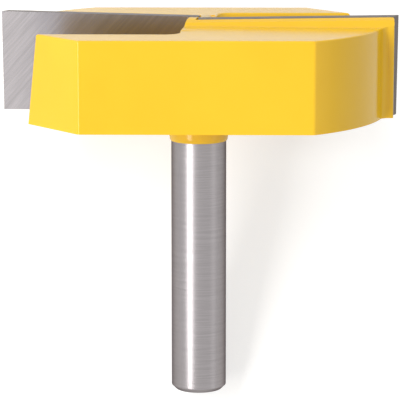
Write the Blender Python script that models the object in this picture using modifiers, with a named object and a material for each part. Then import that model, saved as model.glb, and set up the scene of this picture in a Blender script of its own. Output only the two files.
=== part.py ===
"""Surfacing router bit: a painted steel head on a ground shank, with two brazed carbide plates.

Lengths are in metres. The tool is modelled upright in its own frame: the turning axis is Z, the cutting
end points up, z = 0 is the underside of the head, and the front milled flat looks along -Y. One empty then
lays it on the ground, on the lower edge of its rear flat and the rim of the shank, with the front flat up.
"""

import math

import bmesh
import bpy
from mathutils import Matrix, Vector

# Cutting edges
CUTTING_DIAMETER = 0.0572
TIP_HEIGHT = 0.01435
DISH_ANGLE = math.radians(1.15)
SIDE_TAPER_ANGLE = math.radians(0.6)

# Carbide plates
PLATE_THICKNESS = 0.0020
RAKE_OFFSET = 0.0020
PLATE_TURN_ANGLE = math.radians(3.0)
END_RELIEF_ANGLE = math.radians(20.0)
TOP_RELIEF_ANGLE = math.radians(0.8)
BRAZE_GAP = 0.0003

# Head. The turned edge lies inside the cutting circle, and the milled flats lie inside the turned edge.
BODY_CLEARANCE = 0.0018
FLAT_INSET = 0.0054
SHOULDER_BELOW_TIP = 0.00148
LAND_BELOW_TIP = 0.00005
STEP_FILLET = 0.0008
CARRIER_BACKING = 0.0018
CARRIER_CLEARANCE = 0.0008
CARRIER_FILLET = 0.0012
EDGE_ROUND = 0.00025
# Shares of the distance from the axis to a flat
LAND_SHARE = 0.425
WING_TIP_SHARE = 0.533
GULLET_WALL_SHARE = 0.6495

# Gullets. The end of each slants from the plate's rake face to the wing's wall.
GULLET_END_RAKE = 0.0013
END_SLANT_ANGLE = math.radians(4.35)
WALL_DRAFT_ANGLE = math.radians(7.75)
END_DRAFT_ANGLE = math.radians(13.0)
GULLET_CORNER = 0.0020

# Shank
SHANK_DIAMETER = 0.0080
SHANK_LENGTH = 0.0412
SHANK_CHAMFER = 0.00062
ROOT_DIAMETER = 0.0088
ROOT_END_DIAMETER = 0.00824
ROOT_LENGTH = 0.0041
ROOT_OVERLAP = 0.0005
ROOT_STEPS = 6

# How far a cutter or a joined shape reaches past what it meets
REACH = 0.0020
ARC_STEP = math.radians(3.0)
SCREW_STEPS = 96

STEP_FILLET_SEGMENTS = 4
EDGE_ROUND_SEGMENTS = 3
SHARP_ANGLE = math.radians(30.0)
WELD_DISTANCE = 1e-6
FLAT_ANGLE = 1e-4

PAINT = {"colour": (0.90, 0.60, 0.045, 1.0), "roughness": 0.35, "metallic": 0.0}
CARBIDE = {"colour": (0.36, 0.35, 0.36, 1.0), "roughness": 0.4, "metallic": 1.0}

CUTTING_RADIUS = CUTTING_DIAMETER / 2
BODY_RADIUS = CUTTING_RADIUS - BODY_CLEARANCE
FLAT_DISTANCE = BODY_RADIUS - FLAT_INSET
HALF_FLAT = math.sqrt(BODY_RADIUS**2 - FLAT_DISTANCE**2)
SHOULDER_HEIGHT = TIP_HEIGHT - SHOULDER_BELOW_TIP
LAND_BACK = FLAT_DISTANCE * LAND_SHARE
WING_TIP_END = FLAT_DISTANCE * WING_TIP_SHARE
GULLET_WALL = FLAT_DISTANCE * GULLET_WALL_SHARE
PLATE_BACK = RAKE_OFFSET + PLATE_THICKNESS
CARRIER_BACK = PLATE_BACK + CARRIER_BACKING
SHANK_RADIUS = SHANK_DIAMETER / 2
# Half the side of a block that is wider than the head on every side
OUTSIDE = CUTTING_RADIUS + 2 * REACH


def clear_scene():
    for thing in list(bpy.data.objects):
        bpy.data.objects.remove(thing, do_unlink=True)


def new_collection(name):
    collection = bpy.data.collections.new(name)
    bpy.context.scene.collection.children.link(collection)
    return collection


def new_material(name, finish):
    material = bpy.data.materials.new(name)
    material.use_nodes = True
    shader = material.node_tree.nodes["Principled BSDF"]
    shader.inputs["Base Color"].default_value = finish["colour"]
    shader.inputs["Roughness"].default_value = finish["roughness"]
    shader.inputs["Metallic"].default_value = finish["metallic"]
    return material


def add_object(name, data, collection, frame):
    thing = bpy.data.objects.new(name, data)
    collection.objects.link(thing)
    thing.parent = frame
    return thing


def hide_tool(thing):
    """A cutter or a joined shape isn't a piece of its own."""
    thing.hide_render = True
    thing.display_type = "WIRE"
    return thing


def half_turn(point):
    """The tool repeats itself after half a turn about its axis."""
    return (-point[0], -point[1])


def rake_y(x):
    """The left plate's rake face in plan: the plate's inner end is turned towards the axis."""
    return RAKE_OFFSET - (x + CUTTING_RADIUS) * math.tan(PLATE_TURN_ANGLE)


def arc(centre, radius, start, end):
    """Points along an arc in plan, both ends included."""
    count = max(2, math.ceil(abs(end - start) / ARC_STEP))
    angles = [start + (end - start) * i / count for i in range(count + 1)]
    return [(centre[0] + radius * math.cos(a), centre[1] + radius * math.sin(a)) for a in angles]


def box(name, low, high, collection, frame):
    """A block between two corners."""
    mesh = bpy.data.meshes.new(name)
    form = bmesh.new()
    bmesh.ops.create_cube(form, size=1.0)
    size = [high[i] - low[i] for i in range(3)]
    middle = [(high[i] + low[i]) / 2 for i in range(3)]
    bmesh.ops.scale(form, vec=size, verts=form.verts)
    bmesh.ops.translate(form, vec=middle, verts=form.verts)
    form.to_mesh(mesh)
    form.free()
    return add_object(name, mesh, collection, frame)


def flat_outline(name, points, bottom, top, collection, frame):
    """A closed plan outline raised from bottom to top, as a mesh that can be cut."""
    curve = bpy.data.curves.new(name, "CURVE")
    curve.dimensions = "2D"
    curve.fill_mode = "BOTH"
    curve.extrude = (top - bottom) / 2
    spline = curve.splines.new("POLY")
    spline.points.add(len(points) - 1)
    for slot, point in zip(spline.points, points):
        slot.co = (point[0], point[1], 0.0, 1.0)
    spline.use_cyclic_u = True
    drawn = bpy.data.objects.new(name + "_outline", curve)
    collection.objects.link(drawn)
    graph = bpy.context.evaluated_depsgraph_get()
    mesh = bpy.data.meshes.new_from_object(drawn.evaluated_get(graph))
    bpy.data.objects.remove(drawn, do_unlink=True)
    form = bmesh.new()
    form.from_mesh(mesh)
    bmesh.ops.remove_doubles(form, verts=form.verts, dist=WELD_DISTANCE)
    bmesh.ops.translate(form, vec=(0.0, 0.0, (top + bottom) / 2), verts=form.verts)
    bmesh.ops.dissolve_limit(form, angle_limit=FLAT_ANGLE, verts=form.verts, edges=form.edges)
    bmesh.ops.recalc_face_normals(form, faces=form.faces)
    form.to_mesh(mesh)
    form.free()
    return add_object(name, mesh, collection, frame)


def cut(thing, cutter, operation="DIFFERENCE"):
    modifier = thing.modifiers.new(cutter.name, "BOOLEAN")
    modifier.operation = operation
    modifier.solver = "EXACT"
    modifier.object = cutter


def half_plan():
    """Half of the head's outline seen from the cutting end, from the right carrier round the front."""
    carrier_end = CUTTING_RADIUS - CARRIER_CLEARANCE
    # The fillet lies between the turned edge and the back of the carrier, outside both.
    fillet_y = -CARRIER_BACK - CARRIER_FILLET
    fillet_x = math.sqrt((BODY_RADIUS + CARRIER_FILLET) ** 2 - fillet_y**2)
    meets_edge = math.atan2(fillet_y, fillet_x)
    fillet = arc((fillet_x, fillet_y), CARRIER_FILLET, math.pi / 2, meets_edge + math.pi)
    turned_edge = arc((0.0, 0.0), BODY_RADIUS, meets_edge, -math.atan2(FLAT_DISTANCE, HALF_FLAT))
    wing_tip_x = -math.sqrt(BODY_RADIUS**2 - WING_TIP_END**2)
    return [
        (carrier_end, REACH - RAKE_OFFSET),
        (carrier_end, -CARRIER_BACK),
        *fillet,
        *turned_edge[1:],
        (-HALF_FLAT, -FLAT_DISTANCE),
        (wing_tip_x, -WING_TIP_END),
    ]


def gullet_plan(height):
    """The left gullet's outline at one height: its walls lean in towards the shank."""
    below_top = TIP_HEIGHT - height
    wall_y = -GULLET_WALL + below_top * math.tan(WALL_DRAFT_ANGLE)
    lean = below_top * math.tan(END_DRAFT_ANGLE)
    rake_x = -GULLET_END_RAKE - lean
    rake_corner = Vector((rake_x, rake_y(rake_x)))
    slant = (rake_corner.y - wall_y) * math.tan(END_SLANT_ANGLE)
    wall_corner = Vector((rake_x - slant, wall_y))
    # A rounded corner, tangent to the wing's wall and to the gullet's end.
    half_angle = (math.pi / 2 - END_SLANT_ANGLE) / 2
    back_off = GULLET_CORNER * math.tan(half_angle)
    centre = (wall_corner.x - back_off, wall_y + GULLET_CORNER)
    start = -math.pi / 2
    corner = arc(centre, GULLET_CORNER, start, start + 2 * half_angle)
    return [(-OUTSIDE, wall_y), *corner, tuple(rake_corner), (-OUTSIDE, rake_y(-OUTSIDE))]


def gullet(name, turned, collection, frame):
    """A loft between the gullet's outlines under the head and above it."""
    levels = (-2 * REACH, TIP_HEIGHT + 2 * REACH)
    mesh = bpy.data.meshes.new(name)
    form = bmesh.new()
    rings = []
    for height in levels:
        points = gullet_plan(height)
        if turned:
            points = [half_turn(point) for point in points]
        rings.append([form.verts.new((x, y, height)) for x, y in points])
    count = len(rings[0])
    for i in range(count):
        j = (i + 1) % count
        form.faces.new((rings[0][i], rings[0][j], rings[1][j], rings[1][i]))
    form.faces.new(reversed(rings[0]))
    form.faces.new(rings[1])
    bmesh.ops.recalc_face_normals(form, faces=form.faces)
    form.to_mesh(mesh)
    form.free()
    return hide_tool(add_object(name, mesh, collection, frame))


def shoulder_cutter(name, side, collection, frame):
    """Mills one wing's top down to the shoulder, with a fillet at the foot of the step."""
    low_y, high_y = sorted((side * LAND_BACK, side * OUTSIDE))
    low = (-OUTSIDE, low_y, SHOULDER_HEIGHT)
    high = (OUTSIDE, high_y, TIP_HEIGHT + 2 * REACH)
    cutter = box(name, low, high, collection, frame)
    fillet = cutter.modifiers.new("step_fillet", "BEVEL")
    fillet.width = STEP_FILLET
    fillet.segments = STEP_FILLET_SEGMENTS
    return hide_tool(cutter)


def dish_cutter(name, side, collection, frame):
    """Takes the land down to the dish of the cutting edges, on one side of the axis."""
    low_x, high_x = sorted((0.0, side * OUTSIDE))
    cutter = box(name, (low_x, -OUTSIDE, 0.0), (high_x, OUTSIDE, 4 * REACH), collection, frame)
    land_at_axis = TIP_HEIGHT - LAND_BELOW_TIP - CUTTING_RADIUS * math.tan(DISH_ANGLE)
    lowered = PLATE_THICKNESS * math.tan(TOP_RELIEF_ANGLE)
    cutter.rotation_euler.y = -side * DISH_ANGLE
    cutter.location.z = land_at_axis - lowered
    return hide_tool(cutter)


def plate_turn():
    """Turns what is drawn along X about the upright line through the left plate's outer tip."""
    tip = Matrix.Translation((-CUTTING_RADIUS, RAKE_OFFSET, 0.0))
    return tip @ Matrix.Rotation(-PLATE_TURN_ANGLE, 4, "Z") @ tip.inverted()


def seat_cutter(name, turned, collection, frame):
    """A slot for one plate, open at the outer end and in front of the gullet."""
    low = (-OUTSIDE, RAKE_OFFSET - BRAZE_GAP, -BRAZE_GAP)
    high = (BRAZE_GAP, PLATE_BACK + BRAZE_GAP, TIP_HEIGHT + REACH)
    cutter = box(name, low, high, collection, frame)
    cutter.data.transform(plate_turn())
    if turned:
        cutter.rotation_euler.z = math.pi
    return hide_tool(cutter)


def shank_profile():
    """Down the outer side of the turned shank, from inside the head to the centre of its end."""
    root_radius = ROOT_DIAMETER / 2
    root_end_radius = ROOT_END_DIAMETER / 2
    points = [(0.0, ROOT_OVERLAP), (root_radius, ROOT_OVERLAP)]
    for i in range(ROOT_STEPS + 1):
        angle = math.pi / 2 * i / ROOT_STEPS
        radius = root_end_radius + (root_radius - root_end_radius) * math.cos(angle)
        points.append((radius, -ROOT_LENGTH * math.sin(angle)))
    step = root_end_radius - SHANK_RADIUS
    points += [
        (SHANK_RADIUS, -ROOT_LENGTH - step),
        (SHANK_RADIUS, SHANK_CHAMFER - SHANK_LENGTH),
        (SHANK_RADIUS - SHANK_CHAMFER, -SHANK_LENGTH),
        (0.0, -SHANK_LENGTH),
    ]
    return points


def turned_shank(collection, frame):
    """The shank and its painted root, turned from a profile."""
    points = [(x, 0.0, z) for x, z in shank_profile()]
    edges = [(i, i + 1) for i in range(len(points) - 1)]
    mesh = bpy.data.meshes.new("shank_form")
    mesh.from_pydata(points, edges, [])
    shank = add_object("shank_form", mesh, collection, frame)
    screw = shank.modifiers.new("turning", "SCREW")
    screw.axis = "Z"
    screw.steps = SCREW_STEPS
    screw.render_steps = SCREW_STEPS
    screw.use_merge_vertices = True
    screw.merge_threshold = WELD_DISTANCE
    return hide_tool(shank)


def steel_body(parts, cutters, frame, material):
    """The head, milled from a disc, with the shank in one piece with it."""
    front = half_plan()
    outline = front + [half_turn(point) for point in front]
    head = flat_outline("steel_body", outline, -REACH, TIP_HEIGHT + REACH, parts, frame)
    for turned in (False, True):
        cut(head, gullet(f"gullet_{int(turned) + 1}", turned, cutters, frame))
    for side in (-1, 1):
        cut(head, dish_cutter(f"dish_{side}", side, cutters, frame))
        cut(head, shoulder_cutter(f"shoulder_{side}", side, cutters, frame))
    rounding = head.modifiers.new("rounded_edges", "BEVEL")
    rounding.width = EDGE_ROUND
    rounding.segments = EDGE_ROUND_SEGMENTS
    rounding.limit_method = "ANGLE"
    rounding.angle_limit = SHARP_ANGLE
    rounding.use_clamp_overlap = False
    low, high = (-OUTSIDE, -OUTSIDE, -3 * REACH), (OUTSIDE, OUTSIDE, 0.0)
    cut(head, hide_tool(box("facing", low, high, cutters, frame)))
    cut(head, turned_shank(cutters, frame), "UNION")
    for turned in (False, True):
        cut(head, seat_cutter(f"seat_{int(turned) + 1}", turned, cutters, frame))
    head.data.materials.clear()
    head.data.materials.append(material)
    return head


def plate_mesh():
    """One carbide plate: a block with its top, its end and their relief ground on."""
    mesh = bpy.data.meshes.new("carbide_plate")
    form = bmesh.new()
    bmesh.ops.create_cube(form, size=1.0)
    size = (CUTTING_RADIUS + REACH, PLATE_THICKNESS, TIP_HEIGHT + REACH)
    middle = (-size[0] / 2, RAKE_OFFSET + size[1] / 2, size[2] / 2)
    bmesh.ops.scale(form, vec=size, verts=form.verts)
    bmesh.ops.translate(form, vec=middle, verts=form.verts)
    tip = Vector((-CUTTING_RADIUS, RAKE_OFFSET, TIP_HEIGHT))
    top_normal = Vector((math.tan(DISH_ANGLE), math.tan(TOP_RELIEF_ANGLE), 1.0))
    end_normal = Vector((-1.0, math.tan(END_RELIEF_ANGLE), -math.tan(SIDE_TAPER_ANGLE)))
    for normal in (top_normal, end_normal):
        geometry = form.verts[:] + form.edges[:] + form.faces[:]
        cut_edges = bmesh.ops.bisect_plane(
            form, geom=geometry, plane_co=tip, plane_no=normal.normalized(), clear_outer=True
        )["geom_cut"]
        rim = [edge for edge in cut_edges if isinstance(edge, bmesh.types.BMEdge)]
        bmesh.ops.contextual_create(form, geom=rim)
    bmesh.ops.recalc_face_normals(form, faces=form.faces)
    form.to_mesh(mesh)
    form.free()
    mesh.transform(plate_turn())
    return mesh


def carbide_plates(parts, frame, material):
    mesh = plate_mesh()
    mesh.materials.append(material)
    left = add_object("carbide_plate_left", mesh, parts, frame)
    right = add_object("carbide_plate_right", mesh, parts, frame)
    right.rotation_euler.z = math.pi
    return left, right


def lay_down(frame):
    """Rests the tool on the lower edge of its rear flat and on the rim of the shank's chamfer."""
    drop = FLAT_DISTANCE - SHANK_RADIUS
    lean = math.atan2(drop, SHANK_LENGTH - SHANK_CHAMFER)
    frame.rotation_euler.x = lean - math.pi / 2
    # Along the ground the tool reaches from the shank's rim to the top of the rear wing or plate.
    shank_end = -SHANK_LENGTH * math.cos(lean) - (SHANK_RADIUS - SHANK_CHAMFER) * math.sin(lean)
    shank_rim = (SHANK_CHAMFER - SHANK_LENGTH) * math.cos(lean) - SHANK_RADIUS * math.sin(lean)
    rounded_off = EDGE_ROUND * (math.cos(lean) + math.sin(lean) - 1)
    wing_end = SHOULDER_HEIGHT * math.cos(lean) + FLAT_DISTANCE * math.sin(lean) - rounded_off
    frame.location.y = -(min(shank_end, shank_rim) + wing_end) / 2
    frame.location.z = FLAT_DISTANCE * math.cos(lean)


def main():
    clear_scene()
    parts = new_collection("surfacing_router_bit")
    cutters = new_collection("cutters")
    frame = bpy.data.objects.new("tool_frame", None)
    parts.objects.link(frame)
    paint = new_material("painted_steel", PAINT)
    carbide = new_material("ground_carbide", CARBIDE)
    body = steel_body(parts, cutters, frame, paint)
    carbide_plates(parts, frame, carbide)
    lay_down(frame)
    bpy.context.view_layer.update()
    body.data.shade_smooth()
    body.data.set_sharp_from_angle(angle=SHARP_ANGLE)


main()
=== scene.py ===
import math

import bmesh
import bpy
from mathutils import Matrix, Vector


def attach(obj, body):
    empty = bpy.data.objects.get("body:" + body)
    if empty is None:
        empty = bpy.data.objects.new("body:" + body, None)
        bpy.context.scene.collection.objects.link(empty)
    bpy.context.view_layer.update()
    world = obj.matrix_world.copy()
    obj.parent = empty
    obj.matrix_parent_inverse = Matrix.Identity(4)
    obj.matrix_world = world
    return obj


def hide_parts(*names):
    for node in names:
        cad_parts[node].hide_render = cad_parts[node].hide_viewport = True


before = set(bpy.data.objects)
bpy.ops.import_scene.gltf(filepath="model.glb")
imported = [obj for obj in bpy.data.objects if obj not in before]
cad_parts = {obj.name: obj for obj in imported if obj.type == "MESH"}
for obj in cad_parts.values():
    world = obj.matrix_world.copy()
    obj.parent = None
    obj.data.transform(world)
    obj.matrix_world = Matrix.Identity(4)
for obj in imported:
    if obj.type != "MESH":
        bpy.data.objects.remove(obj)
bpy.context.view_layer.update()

print("frame loaded:", ", ".join(sorted(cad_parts)))

# Lengths are in millimetres and are turned to metres where an object is made. The bit is described
# upright, as it turns: Z is its axis, the cutting end is up, and the underside of the head is at 0.
# This is how it lies on the ground, on the edge of its rear flat and the rim of its shank.
lying = {
    "leanAngle": 23.2088,   # degrees, between the axis and the ground
    "placeY": 9.5072,
    "placeZ": 19.6682,
}
mm = 0.001
layTurn = math.radians(lying["leanAngle"]) - math.pi / 2
layPlace = Vector((0, lying["placeY"], lying["placeZ"])) * mm
uprightToLying = Matrix.Translation(layPlace) @ Matrix.Rotation(layTurn, 4, "X") @ Matrix.Scale(mm, 4)
lyingToUpright = uprightToLying.inverted()


def fromHex(text, alpha=1.0):
    # sRGB hex to the linear colour that the shaders take
    def channel(start):
        value = int(text[start:start + 2], 16) / 255
        return value / 12.92 if value <= 0.04045 else ((value + 0.055) / 1.055) ** 2.4
    return (channel(1), channel(3), channel(5), alpha)


def addNode(tree, kind, inputs=None, **settings):
    # One node with its settings; an input takes a value, or the socket that feeds it
    node = tree.nodes.new(kind)
    for key, value in settings.items():
        setattr(node, key, value)
    for key, value in (inputs or {}).items():
        if isinstance(value, bpy.types.NodeSocket):
            tree.links.new(value, node.inputs[key])
        else:
            node.inputs[key].default_value = value
    return node


def newMaterial(name):
    material = bpy.data.materials.new(name)
    material.use_nodes = True
    tree = material.node_tree
    return material, tree, tree.nodes["Principled BSDF"]


def uprightPattern(tree, turn=(0, 0, 0), stretch=(1, 1, 1)):
    # Object coordinates brought upright and to millimetres, then turned and stretched for a pattern
    place = addNode(tree, "ShaderNodeTexCoord")
    upright = addNode(tree, "ShaderNodeMapping", {
        "Vector": place.outputs["Object"],
        "Location": layPlace,
        "Rotation": (layTurn, 0, 0),
        "Scale": (mm, mm, mm),
    }, vector_type="TEXTURE")
    turned = addNode(tree, "ShaderNodeMapping", {
        "Vector": upright.outputs["Vector"],
        "Rotation": [math.radians(angle) for angle in turn],
        "Scale": stretch,
    }, vector_type="TEXTURE")
    return turned.outputs["Vector"]


# The paint is a sprayed, baked enamel: an even colour that dries glossy and faintly dimpled, so it shows
# the pale surroundings where it is seen at a low angle.
enamel = {
    "colour": "#FAC718",
    "deepColour": "#F8C414",
    "roughness": 0.18,
    "ior": 1.5,
    "dimpleSize": 0.9,      # mm
    "dimpleDepth": 0.012,   # mm
    "cloudSize": 9.0,       # mm, of slight changes in the film's thickness
    "cloudSpread": (0.35, 0.65),
}


def makeEnamel():
    material, tree, shader = newMaterial("yellowEnamel")
    clouds = addNode(tree, "ShaderNodeTexNoise", {
        "Vector": uprightPattern(tree, stretch=[enamel["cloudSize"]] * 3), "Scale": 1.0, "Detail": 2.0})
    colour = addNode(tree, "ShaderNodeValToRGB", {"Fac": clouds.outputs["Fac"]})
    deep, plain = colour.color_ramp.elements
    deep.position, plain.position = enamel["cloudSpread"]
    deep.color, plain.color = fromHex(enamel["deepColour"]), fromHex(enamel["colour"])
    dimples = addNode(tree, "ShaderNodeTexNoise", {
        "Vector": uprightPattern(tree, stretch=[enamel["dimpleSize"]] * 3), "Scale": 1.0, "Detail": 1.0})
    relief = addNode(tree, "ShaderNodeBump", {
        "Height": dimples.outputs["Fac"], "Strength": 1.0, "Distance": enamel["dimpleDepth"] * mm})
    tree.links.new(colour.outputs["Color"], shader.inputs["Base Color"])
    tree.links.new(relief.outputs["Normal"], shader.inputs["Normal"])
    shader.inputs["Roughness"].default_value = enamel["roughness"]
    shader.inputs["IOR"].default_value = enamel["ior"]
    return material


# Tungsten carbide with a surface-ground rake face: grey metal, silky, with a diagonal grain. In towards the
# axis its colour is darkened as painted shade, for the dim gullet that the rake face reflects there. The
# wheel's own scratches are finer than a pixel, so they are drawn a few tenths of a millimetre wide.
rakeGrind = {
    "lightColour": "#B9B4B5",
    "darkColour": "#A7A2A3",
    "spread": (0.3, 0.7),
    "roughness": 0.26,
    "grainAngle": 48,
    "grainWidth": 0.35,     # mm
    "grainLength": 7.0,     # mm
    "grainReach": 2.0,      # mm, into the plate
    "grainDepth": 0.0012,   # mm
    "gulletShadeColour": "#D0D4DF",  # painted shade, none at the tip and full towards the axis
    "shadeStart": 27.5,      # mm from the axis
    "shadeEnd": 15.0,
}


def makeRakeGrind():
    material, tree, shader = newMaterial("groundCarbide")
    grainSize = [rakeGrind[key] for key in ("grainLength", "grainReach", "grainWidth")]
    grain = addNode(tree, "ShaderNodeTexNoise", {
        "Vector": uprightPattern(tree, (0, -rakeGrind["grainAngle"], 0), grainSize),
        "Scale": 1.0, "Detail": 3.0, "Roughness": 0.6})
    colour = addNode(tree, "ShaderNodeValToRGB", {"Fac": grain.outputs["Fac"]})
    dark, light = colour.color_ramp.elements
    dark.position, light.position = rakeGrind["spread"]
    dark.color, light.color = fromHex(rakeGrind["darkColour"]), fromHex(rakeGrind["lightColour"])
    # Painted shade: the colour is darkened from the tip in towards the axis
    place = addNode(tree, "ShaderNodeSeparateXYZ", {0: uprightPattern(tree)})
    fromAxis = addNode(tree, "ShaderNodeMath", {0: place.outputs["X"]}, operation="ABSOLUTE")
    shadeShare = addNode(tree, "ShaderNodeMapRange", {
        "Value": fromAxis.outputs[0], "From Min": rakeGrind["shadeStart"], "From Max": rakeGrind["shadeEnd"]},
        interpolation_type="SMOOTHSTEP")
    # A mix of colours takes them at inputs 6 and 7 and gives the result at output 2
    mixed = addNode(tree, "ShaderNodeMix", {
        0: shadeShare.outputs["Result"], 6: colour.outputs["Color"], 7: fromHex(rakeGrind["gulletShadeColour"])},
        data_type="RGBA", blend_type="MULTIPLY")
    relief = addNode(tree, "ShaderNodeBump", {
        "Height": grain.outputs["Fac"], "Strength": 1.0, "Distance": rakeGrind["grainDepth"] * mm})
    tree.links.new(mixed.outputs[2], shader.inputs["Base Color"])
    tree.links.new(relief.outputs["Normal"], shader.inputs["Normal"])
    shader.inputs["Metallic"].default_value = 1.0
    shader.inputs["Roughness"].default_value = rakeGrind["roughness"]
    return material


# The plates' backs, tops and ends are coarser than the rake face, and drawn slate dark beside it.
reliefGrind = {
    "lightColour": "#746C6B",
    "darkColour": "#5A5451",
    "spread": (0.3, 0.7),
    "roughness": 0.42,
    "grainWidth": 0.12,     # mm
    "grainLength": 3.0,     # mm
}


def makeReliefGrind():
    material, tree, shader = newMaterial("darkerCarbide")
    length, width = reliefGrind["grainLength"], reliefGrind["grainWidth"]
    grain = addNode(tree, "ShaderNodeTexNoise", {
        "Vector": uprightPattern(tree, stretch=(length, width, length)), "Scale": 1.0, "Detail": 2.0})
    colour = addNode(tree, "ShaderNodeValToRGB", {"Fac": grain.outputs["Fac"]})
    dark, light = colour.color_ramp.elements
    dark.position, light.position = reliefGrind["spread"]
    dark.color, light.color = fromHex(reliefGrind["darkColour"]), fromHex(reliefGrind["lightColour"])
    tree.links.new(colour.outputs["Color"], shader.inputs["Base Color"])
    shader.inputs["Metallic"].default_value = 1.0
    shader.inputs["Roughness"].default_value = reliefGrind["roughness"]
    return material


# Hardened steel, ground round between wheels: a grey satin with fine rings, which draw each lamp out
# into a line along the shank.
shankGrind = {
    "lightColour": "#A39E9F",
    "darkColour": "#999495",
    "glancingShadeColour": "#A19C9D",    # at a glancing angle: painted shade, darker than the metal, for the shank's sides
    "spread": (0.3, 0.7),
    "roughness": 0.27,
    "anisotropy": 0.55,
    "ringWidth": 0.16,      # mm, drawn wider than the real scratches so that they show
    "ringLength": 5.0,      # mm
    "ringDepth": 0.0004,    # mm
}


def makeShankGrind():
    material, tree, shader = newMaterial("groundSteel")
    length, width = shankGrind["ringLength"], shankGrind["ringWidth"]
    rings = addNode(tree, "ShaderNodeTexNoise", {
        "Vector": uprightPattern(tree, stretch=(length, length, width)), "Scale": 1.0, "Detail": 3.0})
    colour = addNode(tree, "ShaderNodeValToRGB", {"Fac": rings.outputs["Fac"]})
    dark, light = colour.color_ramp.elements
    dark.position, light.position = shankGrind["spread"]
    dark.color, light.color = fromHex(shankGrind["darkColour"]), fromHex(shankGrind["lightColour"])
    relief = addNode(tree, "ShaderNodeBump", {
        "Height": rings.outputs["Fac"], "Strength": 1.0, "Distance": shankGrind["ringDepth"] * mm})
    around = addNode(tree, "ShaderNodeTangent", direction_type="UV_MAP", uv_map="roundAndAlong")
    tree.links.new(colour.outputs["Color"], shader.inputs["Base Color"])
    tree.links.new(relief.outputs["Normal"], shader.inputs["Normal"])
    tree.links.new(around.outputs["Tangent"], shader.inputs["Tangent"])
    shader.inputs["Metallic"].default_value = 1.0
    shader.inputs["Roughness"].default_value = shankGrind["roughness"]
    shader.inputs["Anisotropic"].default_value = shankGrind["anisotropy"]
    # Painted shade: a dark glancing tint makes the shank's sides darker
    shader.inputs["Specular Tint"].default_value = fromHex(shankGrind["glancingShadeColour"])
    return material


# Silver solder: a dull brownish metal that froze as it ran, so its surface is uneven.
solder = {
    "colour": "#8F7A66",
    "roughness": 0.4,
    "lumpSize": 0.5,        # mm
    "lumpDepth": 0.02,      # mm
}


def makeSolder():
    material, tree, shader = newMaterial("silverSolder")
    lumps = addNode(tree, "ShaderNodeTexNoise", {
        "Vector": uprightPattern(tree, stretch=[solder["lumpSize"]] * 3), "Scale": 1.0, "Detail": 2.0})
    relief = addNode(tree, "ShaderNodeBump", {
        "Height": lumps.outputs["Fac"], "Strength": 1.0, "Distance": solder["lumpDepth"] * mm})
    tree.links.new(relief.outputs["Normal"], shader.inputs["Normal"])
    shader.inputs["Base Color"].default_value = fromHex(solder["colour"])
    shader.inputs["Metallic"].default_value = 1.0
    shader.inputs["Roughness"].default_value = solder["roughness"]
    return material


yellowEnamel = makeEnamel()
groundCarbide = makeRakeGrind()
darkerCarbide = makeReliefGrind()
groundSteel = makeShankGrind()
silverSolder = makeSolder()
print("materials made")


def addPiece(name, mesh, slot, *nodes):
    # The mesh is in metres, as it lies, so the object stays at the origin
    piece = bpy.data.objects.new(name, mesh)
    bpy.context.scene.collection.objects.link(piece)
    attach(piece, "root")
    if nodes:
        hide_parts(*nodes)
    return piece


cadCopy = {
    "joinDistance": 0.002,  # mm
    "flatAngle": 0.05,      # degrees
}


def mergedCopy(node):
    # The CAD solid's own faces, upright and in millimetres, with its loose triangles joined
    form = bmesh.new()
    form.from_mesh(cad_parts[node].data)
    form.transform(lyingToUpright)
    bmesh.ops.remove_doubles(form, verts=form.verts, dist=cadCopy["joinDistance"])
    bmesh.ops.dissolve_limit(form, angle_limit=math.radians(cadCopy["flatAngle"]),
                             verts=form.verts, edges=form.edges)
    return form


def smoothShade(mesh, angle):
    # The normals stored with a CAD copy would keep its old shading
    if "custom_normal" in mesh.attributes:
        mesh.attributes.remove(mesh.attributes["custom_normal"])
    mesh.shade_smooth()
    mesh.set_sharp_from_angle(angle=math.radians(angle))


# Each plate is turned a little about its outer tip, and what follows it is drawn straight, along X,
# and turned with it.
plateTurn = {
    "angle": 3.0,           # degrees
    "tip": (-28.6, 2.0, 0),
}
plateTip = Matrix.Translation(plateTurn["tip"])
alongPlate = plateTip @ Matrix.Rotation(-math.radians(plateTurn["angle"]), 4, "Z") @ plateTip.inverted()

# The head and the root of the shank, in one coat of paint. The paint stops at the root's lower rim.
paintedHead = {
    "paintEnd": -4.12,      # where the root is cut off level
    "sharpAngle": 50,
}

# The land behind each plate slopes down to a rounded step. Depths are mm behind the axis line.
land = {
    "ends": (-40, 3),       # along the plate, past its tip and the axis
    "above": 20,            # higher than the head
    "start": 4.3,           # the back of the plate's slot
    "overlap": 0.2,
    "tipHeight": 14.26,     # at the outer tip
    "dish": 1.15,           # degrees, down towards the axis
    "slope": 22,            # degrees, down towards the step
    "ridgeRound": 0.3,
    "stepTop": 5.1,
    "stepSlope": 45,        # degrees
    "footRound": 0.8,
    "end": 11.1,            # past the solid's own step
    "shoulder": 12.865,     # height of the level top behind the step
}


def roundedCorner(before, corner, after, radius, steps=5):
    # Points round a corner of an outline, where the two sides would meet
    before, corner, after = Vector(before), Vector(corner), Vector(after)
    inwards, outwards = (before - corner).normalized(), (after - corner).normalized()
    half = inwards.angle(outwards) / 2
    centre = corner + (inwards + outwards).normalized() * radius / math.sin(half)
    start = corner + inwards * radius / math.tan(half) - centre
    end = corner + outwards * radius / math.tan(half) - centre
    return [centre + start.slerp(end, i / steps) * radius for i in range(steps + 1)]


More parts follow.
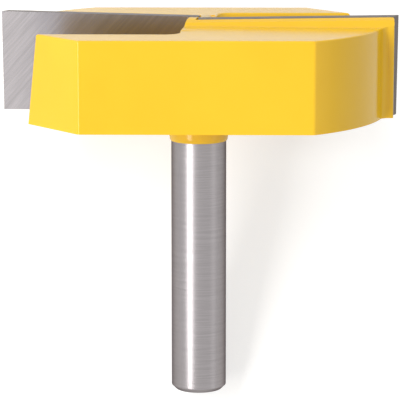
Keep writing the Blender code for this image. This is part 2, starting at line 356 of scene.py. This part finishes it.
def makeLandCutter(turned):
    # What is above the land, as a bar with one outline at each end
    dish, drop, stepDrop = (math.tan(math.radians(land[key])) for key in ("dish", "slope", "stepSlope"))
    rings = []
    for x in land["ends"]:
        top = land["tipHeight"] - (x - plateTurn["tip"][0]) * dish
        first = (land["start"] - land["overlap"], top + land["overlap"] * drop)
        ridge = (land["stepTop"], top - (land["stepTop"] - land["start"]) * drop)
        foot = (land["stepTop"] + (ridge[1] - land["shoulder"]) / stepDrop, land["shoulder"])
        far = (land["end"], land["shoulder"])
        outline = [first, *roundedCorner(first, ridge, foot, land["ridgeRound"]),
                   *roundedCorner(ridge, foot, far, land["footRound"]),
                   far, (far[0], land["above"]), (first[0], land["above"])]
        rings.append([(x, y, z) for y, z in outline])
    count = len(rings[0])
    sides = [(i, (i + 1) % count, count + (i + 1) % count, count + i) for i in range(count)]
    mesh = bpy.data.meshes.new("landCutter")
    mesh.from_pydata(rings[0] + rings[1], [], [*sides, range(count)[::-1], range(count, 2 * count)])
    mesh.transform(alongPlate)
    if turned:
        mesh.transform(Matrix.Rotation(math.pi, 4, "Z"))
    form = bmesh.new()
    form.from_mesh(mesh)
    bmesh.ops.recalc_face_normals(form, faces=form.faces)
    form.to_mesh(mesh)
    form.free()
    cutter = bpy.data.objects.new("landCutter", mesh)
    bpy.context.scene.collection.objects.link(cutter)
    return cutter


def groundLands(mesh):
    # The head less what the two cutters take
    head = bpy.data.objects.new("groundHead", mesh)
    bpy.context.scene.collection.objects.link(head)
    cutters = [makeLandCutter(turned) for turned in (False, True)]
    for cutter in cutters:
        cut = head.modifiers.new("land", "BOOLEAN")
        cut.operation, cut.solver, cut.object = "DIFFERENCE", "EXACT", cutter
    graph = bpy.context.evaluated_depsgraph_get()
    result = bpy.data.meshes.new_from_object(head.evaluated_get(graph), depsgraph=graph)
    for thing in (head, *cutters):
        bpy.data.objects.remove(thing, do_unlink=True)
    return result


def makePaintedHead():
    form = mergedCopy("steel_body")
    mesh = bpy.data.meshes.new("paintedHead")
    form.to_mesh(mesh)
    mesh = groundLands(mesh)
    form.clear()
    form.from_mesh(mesh)
    everything = form.verts[:] + form.edges[:] + form.faces[:]
    cut = bmesh.ops.bisect_plane(form, geom=everything, plane_co=(0, 0, paintedHead["paintEnd"]),
                                 plane_no=(0, 0, -1), clear_outer=True)["geom_cut"]
    rim = [edge for edge in cut if isinstance(edge, bmesh.types.BMEdge)]
    bmesh.ops.contextual_create(form, geom=rim)
    form.transform(uprightToLying)
    form.to_mesh(mesh)
    form.free()
    smoothShade(mesh, paintedHead["sharpAngle"])
    mesh.materials.append(yellowEnamel)
    piece = addPiece("paintedHead", mesh, "painted_steel", "steel_body")
    weight = piece.modifiers.new("flatFaces", "WEIGHTED_NORMAL")
    weight.keep_sharp = True
    return piece


makePaintedHead()
print("painted head made")


# The bare shank, turned from half its outline.
shank = {
    "Diameter": 8.0,
    "Length": 41.2,
    "Chamfer": 0.62,
    "Edge Round": 0.16,
    "Hidden Top": 3.0,      # how far below the head it starts, inside the painted root
    "Sides": 144,
}
shankSharpAngle = 30


def newTree(name, inputs):
    # A geometry tree whose named inputs are floats, apart from whole numbers and the material
    tree = bpy.data.node_groups.new(name, "GeometryNodeTree")
    tree.is_modifier = True
    tree.interface.new_socket("Geometry", in_out="INPUT", socket_type="NodeSocketGeometry")
    kinds = {int: "NodeSocketInt", float: "NodeSocketFloat"}
    for label, value in inputs.items():
        kind = kinds.get(type(value), "NodeSocketMaterial")
        tree.interface.new_socket(label, in_out="INPUT", socket_type=kind)
    tree.interface.new_socket("Geometry", in_out="OUTPUT", socket_type="NodeSocketGeometry")
    return tree, tree.nodes.new("NodeGroupInput").outputs


def bakeTree(name, mesh, tree, values):
    # The tree's result as a plain mesh, brought from upright millimetres to where the bit lies
    maker = bpy.data.objects.new(name + "Maker", mesh)
    bpy.context.scene.collection.objects.link(maker)
    modifier = maker.modifiers.new(name, "NODES")
    modifier.node_group = tree
    for item in tree.interface.items_tree:
        if item.in_out == "INPUT" and item.name in values:
            modifier[item.identifier] = values[item.name]
    graph = bpy.context.evaluated_depsgraph_get()
    result = bpy.data.meshes.new_from_object(maker.evaluated_get(graph), depsgraph=graph)
    bpy.data.objects.remove(maker, do_unlink=True)
    result.name = name
    result.transform(uprightToLying)
    return result


def makeShankTree():
    tree, size = newTree("turnedShank", {**shank, "Material": None})
    radius = addNode(tree, "ShaderNodeMath", {0: size["Diameter"], 1: 2.0}, operation="DIVIDE")
    endRadius = addNode(tree, "ShaderNodeMath", {0: radius.outputs[0], 1: size["Chamfer"]},
                        operation="SUBTRACT")
    end = addNode(tree, "ShaderNodeMath", {0: size["Length"], 1: -1.0}, operation="MULTIPLY")
    rim = addNode(tree, "ShaderNodeMath", {0: end.outputs[0], 1: size["Chamfer"]}, operation="ADD")
    top = addNode(tree, "ShaderNodeMath", {0: size["Hidden Top"], 1: -1.0}, operation="MULTIPLY")
    # Half the outline: centre of the top, down the side, round the chamfer, centre of the end
    corners = [(0.0, top), (radius, top), (radius, rim), (endRadius, end), (0.0, end)]
    line = addNode(tree, "GeometryNodeMeshLine", {"Count": len(corners)})
    ownIndex = addNode(tree, "GeometryNodeInputIndex")
    pick = addNode(tree, "GeometryNodeIndexSwitch", {"Index": ownIndex.outputs[0]}, data_type="VECTOR")
    while len(pick.index_switch_items) < len(corners):
        pick.index_switch_items.new()
    for i, (across, height) in enumerate(corners):
        across = across if isinstance(across, float) else across.outputs[0]
        corner = addNode(tree, "ShaderNodeCombineXYZ", {"X": across, "Z": height.outputs[0]})
        tree.links.new(corner.outputs[0], pick.inputs[i + 1])
    drawn = addNode(tree, "GeometryNodeSetPosition", {
        "Geometry": line.outputs[0], "Position": pick.outputs[0]})
    outline = addNode(tree, "GeometryNodeMeshToCurve", {"Mesh": drawn.outputs[0]})
    rounded = addNode(tree, "GeometryNodeFilletCurve", {
        "Curve": outline.outputs[0], "Count": 4, "Radius": size["Edge Round"], "Limit Radius": True},
        mode="POLY")
    count = addNode(tree, "GeometryNodeAttributeDomainSize", {"Geometry": rounded.outputs[0]},
                    component="CURVE")
    columns = addNode(tree, "ShaderNodeMath", {0: size["Sides"], 1: 1.0}, operation="ADD")
    rows = count.outputs["Point Count"]
    grid = addNode(tree, "GeometryNodeMeshGrid", {
        "Size X": 1.0, "Size Y": 1.0, "Vertices X": columns.outputs[0], "Vertices Y": rows})
    mapped = addNode(tree, "GeometryNodeStoreNamedAttribute", {
        "Geometry": grid.outputs["Mesh"], "Name": "roundAndAlong", "Value": grid.outputs["UV Map"]},
        data_type="FLOAT2", domain="CORNER")
    # Each row of the grid takes one point of the outline, and each column one angle
    position = addNode(tree, "GeometryNodeInputPosition")
    place = addNode(tree, "ShaderNodeSeparateXYZ", {0: position.outputs[0]})
    share = addNode(tree, "ShaderNodeMath", {0: place.outputs["Y"], 1: 0.5}, operation="ADD")
    lastRow = addNode(tree, "ShaderNodeMath", {0: rows, 1: 1.0}, operation="SUBTRACT")
    row = addNode(tree, "ShaderNodeMath", {0: share.outputs[0], 1: lastRow.outputs[0]}, operation="MULTIPLY")
    whole = addNode(tree, "ShaderNodeMath", {0: row.outputs[0]}, operation="ROUND")
    outlinePoint = addNode(tree, "GeometryNodeSampleIndex", {
        "Geometry": rounded.outputs[0], "Value": position.outputs[0],
        "Index": whole.outputs[0]}, data_type="FLOAT_VECTOR", domain="POINT")
    angle = addNode(tree, "ShaderNodeMath", {0: place.outputs["X"], 1: 2 * math.pi}, operation="MULTIPLY")
    turned = addNode(tree, "ShaderNodeVectorRotate", {
        "Vector": outlinePoint.outputs[0], "Axis": (0, 0, 1), "Angle": angle.outputs[0]},
        rotation_type="AXIS_ANGLE")
    wrapped = addNode(tree, "GeometryNodeSetPosition", {
        "Geometry": mapped.outputs[0], "Position": turned.outputs[0]})
    closed = addNode(tree, "GeometryNodeMergeByDistance", {
        "Geometry": wrapped.outputs[0], "Distance": 0.0005})
    plain = addNode(tree, "GeometryNodeRealizeInstances", {"Geometry": closed.outputs[0]})
    coloured = addNode(tree, "GeometryNodeSetMaterial", {
        "Geometry": plain.outputs[0], "Material": size["Material"]})
    addNode(tree, "NodeGroupOutput", {0: coloured.outputs[0]})
    return tree


shankMesh = bakeTree("groundShank", bpy.data.meshes.new("shankStart"), makeShankTree(),
                     {**shank, "Material": groundSteel})
smoothShade(shankMesh, shankSharpAngle)
addPiece("groundShank", shankMesh, "painted_steel", "steel_body")
print("ground shank made:", len(shankMesh.polygons), "faces")


# The two carbide plates. Only the rake face is fine ground.
plates = {
    "names": {"carbidePlateLeft": "carbide_plate_left", "carbidePlateRight": "carbide_plate_right"},
    "edgeBreak": 0.04,      # mm, the least that keeps an edge from being razor thin
    "sharpAngle": 50,
    "leastFacing": 0.9,     # how squarely a face looks forwards to count as the rake face
}


def makePlate(name, node, side):
    form = mergedCopy(node)
    bmesh.ops.bevel(form, geom=form.edges[:], offset=plates["edgeBreak"], segments=2,
                    affect="EDGES", profile=0.5)
    rake = Vector((0, side, 0))
    for face in form.faces:
        face.material_index = 0 if face.normal.dot(rake) > plates["leastFacing"] else 1
    form.transform(uprightToLying)
    mesh = bpy.data.meshes.new(name)
    form.to_mesh(mesh)
    form.free()
    smoothShade(mesh, plates["sharpAngle"])
    mesh.materials.append(groundCarbide)
    mesh.materials.append(darkerCarbide)
    piece = addPiece(name, mesh, "ground_carbide", node)
    weight = piece.modifiers.new("flatFaces", "WEIGHTED_NORMAL")
    weight.keep_sharp = True
    return piece


for (name, node), side in zip(plates["names"].items(), (-1, 1)):
    makePlate(name, node, side)
print("carbide plates made")


# Solder that squeezed out round each plate: along its back, and up the slot's edge in the gullet.
# The paths are for the left plate, and the tree repeats them half a turn round.
seam = {
    "Bead Radius": 0.19,
    "Unevenness": 0.25,
    "Corner Round": 0.5,
    "Step": 0.25,
}
seamPaths = {
    "behindPlate": [(-27.75, 4.15, 0.25), (-27.75, 4.15, 14.10), (-14.0, 4.15, 13.83), (0.12, 4.15, 13.55),
                    (0.12, 4.15, 0.25), (-27.75, 4.15, 0.25)],
    "slotEdge": [(-4.57, 1.84, 0.15), (-1.46, 1.84, 13.67)],
}


def makeSeamTree():
    tree, size = newTree("solderSeam", {**seam, "Material": None})
    path = addNode(tree, "GeometryNodeMeshToCurve", {"Mesh": size["Geometry"]})
    rounded = addNode(tree, "GeometryNodeFilletCurve", {
        "Curve": path.outputs[0], "Count": 5, "Radius": size["Corner Round"], "Limit Radius": True},
        mode="POLY")
    even = addNode(tree, "GeometryNodeResampleCurve", {"Curve": rounded.outputs[0], "Length": size["Step"]},
                   mode="LENGTH")
    lumps = addNode(tree, "ShaderNodeTexNoise", {"Scale": 0.6, "Detail": 1.0})
    centred = addNode(tree, "ShaderNodeMath", {0: lumps.outputs["Fac"], 1: 0.5}, operation="SUBTRACT")
    swing = addNode(tree, "ShaderNodeMath", {0: centred.outputs[0], 1: size["Unevenness"]},
                    operation="MULTIPLY")
    scale = addNode(tree, "ShaderNodeMath", {0: swing.outputs[0], 1: 1.0}, operation="ADD")
    thickness = addNode(tree, "ShaderNodeMath", {0: scale.outputs[0], 1: size["Bead Radius"]},
                        operation="MULTIPLY")
    sized = addNode(tree, "GeometryNodeSetCurveRadius", {
        "Curve": even.outputs[0], "Radius": thickness.outputs[0]})
    circle = addNode(tree, "GeometryNodeCurvePrimitiveCircle", {"Resolution": 10, "Radius": 1.0},
                     mode="RADIUS")
    bead = addNode(tree, "GeometryNodeCurveToMesh", {
        "Curve": sized.outputs[0], "Profile Curve": circle.outputs[0], "Fill Caps": True})
    if "Scale" in bead.inputs:
        tree.links.new(addNode(tree, "GeometryNodeInputRadius").outputs[0], bead.inputs["Scale"])
    other = addNode(tree, "GeometryNodeTransform", {
        "Geometry": bead.outputs[0], "Rotation": (0, 0, math.pi)})
    both = addNode(tree, "GeometryNodeJoinGeometry", {"Geometry": bead.outputs[0]})
    tree.links.new(other.outputs[0], both.inputs["Geometry"])
    smooth = addNode(tree, "GeometryNodeSetShadeSmooth", {"Geometry": both.outputs[0]})
    plain = addNode(tree, "GeometryNodeRealizeInstances", {"Geometry": smooth.outputs[0]})
    coloured = addNode(tree, "GeometryNodeSetMaterial", {
        "Geometry": plain.outputs[0], "Material": size["Material"]})
    addNode(tree, "NodeGroupOutput", {0: coloured.outputs[0]})
    return tree


def makeSeamStart():
    mesh = bpy.data.meshes.new("seamStart")
    points, edges = [], []
    for path in seamPaths.values():
        closes = path[0] == path[-1]
        own = path[:-1] if closes else path
        first = len(points)
        points += own
        edges += [(first + i, first + i + 1) for i in range(len(own) - 1)]
        if closes:
            edges.append((len(points) - 1, first))
    mesh.from_pydata(points, edges, [])
    mesh.transform(alongPlate)
    return mesh


seamMesh = bakeTree("solderSeam", makeSeamStart(), makeSeamTree(), {**seam, "Material": silverSolder})
addPiece("solderSeam", seamMesh, "ground_carbide")
print("solder seams made:", len(seamMesh.polygons), "faces")


# A plain white paper floor. The camera sees it lighter, so that it is white and the shadow on it stays,
# and reflections see it half as much lighter.
floor = {
    "colour": "#C4C3C1",
    "roughness": 0.9,
    "lift": 0.59,
    "reflectedShare": 0.5,  # of the lift
    "size": 6.0,            # m
}


def makeFloor():
    mesh = bpy.data.meshes.new("floor")
    half = floor["size"] / 2
    corners = [(-half, -half, 0), (half, -half, 0), (half, half, 0), (-half, half, 0)]
    mesh.from_pydata(corners, [], [(0, 1, 2, 3)])
    material, tree, shader = newMaterial("whitePaper")
    shader.inputs["Base Color"].default_value = fromHex(floor["colour"])
    shader.inputs["Roughness"].default_value = floor["roughness"]
    shader.inputs["Emission Color"].default_value = (1, 1, 1, 1)
    seen = addNode(tree, "ShaderNodeLightPath")
    mirrored = addNode(tree, "ShaderNodeMath", {
        0: seen.outputs["Is Glossy Ray"], 1: seen.outputs["Is Transmission Ray"]}, operation="MAXIMUM")
    dimmed = addNode(tree, "ShaderNodeMath", {0: mirrored.outputs[0], 1: floor["reflectedShare"]},
                     operation="MULTIPLY")
    both = addNode(tree, "ShaderNodeMath", {0: seen.outputs["Is Camera Ray"], 1: dimmed.outputs[0]},
                   operation="MAXIMUM")
    lift = addNode(tree, "ShaderNodeMath", {0: both.outputs[0], 1: floor["lift"]}, operation="MULTIPLY")
    tree.links.new(lift.outputs[0], shader.inputs["Emission Strength"])
    mesh.materials.append(material)
    ground = bpy.data.objects.new("floor", mesh)
    bpy.context.scene.collection.objects.link(ground)


# The camera looks down on the lying bit, square to its front but for eleven degrees.
camera = {
    "place": (5.79, -79.07, 358.87),
    "target": (0.18, -2.47, 14.53),
    "lens": 217.6,
}
# A long soft box on the left, which draws the bright line down the shank, a faint one on the right, and
# even light all round. Angles are to the left of the camera, in degrees, sizes in m and power in W.
lamps = {
    "boxes": {
        "softBox": {"angle": 36, "size": (0.31, 1.6), "power": 9.0},
        "faintBox": {"angle": -64, "size": (0.26, 1.6), "power": 0.45},
    },
    "raise": 10,            # degrees towards the cutting end
    "distance": 0.9,        # m
    "roomLight": 0.54,
}


def aimAt(thing, place, backwards):
    # Looks along -Z from there, with its Y along the bit's axis as far as that can be
    axis = (uprightToLying.to_3x3() @ Vector((0, 0, 1))).normalized()
    across = axis.cross(backwards).normalized()
    turn = Matrix((across, backwards.cross(across), backwards)).transposed().to_4x4()
    thing.matrix_world = Matrix.Translation(place) @ turn


def makeCamera():
    data = bpy.data.cameras.new("camera")
    data.lens = camera["lens"]
    data.sensor_width = 36
    data.clip_start, data.clip_end = 0.01, 20
    viewer = bpy.data.objects.new("camera", data)
    bpy.context.scene.collection.objects.link(viewer)
    place, target = Vector(camera["place"]) * mm, Vector(camera["target"]) * mm
    backwards = (place - target).normalized()
    aimAt(viewer, place, backwards)
    bpy.context.scene.camera = viewer
    return backwards


def makeLamps(towardsCamera):
    raised = math.radians(lamps["raise"])
    axis = (uprightToLying.to_3x3() @ Vector((0, 0, 1))).normalized()
    for name, box in lamps["boxes"].items():
        angle = math.radians(box["angle"])
        sideways = towardsCamera * math.cos(angle) + Vector((-1, 0, 0)) * math.sin(angle)
        direction = (sideways * math.cos(raised) + axis * math.sin(raised)).normalized()
        data = bpy.data.lights.new(name, "AREA")
        data.shape = "RECTANGLE"
        data.size, data.size_y = box["size"]
        data.energy = box["power"]
        lamp = bpy.data.objects.new(name, data)
        bpy.context.scene.collection.objects.link(lamp)
        aimAt(lamp, direction * lamps["distance"], direction)    # its long side lies along the shank
        lamp.visible_camera = False


def makeWorld():
    world = bpy.data.worlds.new("studio")
    world.use_nodes = True
    bpy.context.scene.world = world
    tree = world.node_tree
    back = tree.nodes["Background"]
    back.inputs["Color"].default_value = (1, 1, 1, 1)
    seen = addNode(tree, "ShaderNodeLightPath")
    lifted = addNode(tree, "ShaderNodeMath", {
        0: seen.outputs["Is Camera Ray"], 1: seen.outputs["Is Glossy Ray"]}, operation="MAXIMUM")
    both = addNode(tree, "ShaderNodeMath", {0: lifted.outputs[0], 1: seen.outputs["Is Transmission Ray"]},
                   operation="MAXIMUM")
    strength = addNode(tree, "ShaderNodeMapRange", {
        "Value": both.outputs[0], "To Min": lamps["roomLight"], "To Max": 1.0})
    tree.links.new(strength.outputs["Result"], back.inputs["Strength"])


makeFloor()
makeLamps(makeCamera())
makeWorld()
bpy.context.scene.view_settings.view_transform = "Standard"
print("floor, camera and lamps made")
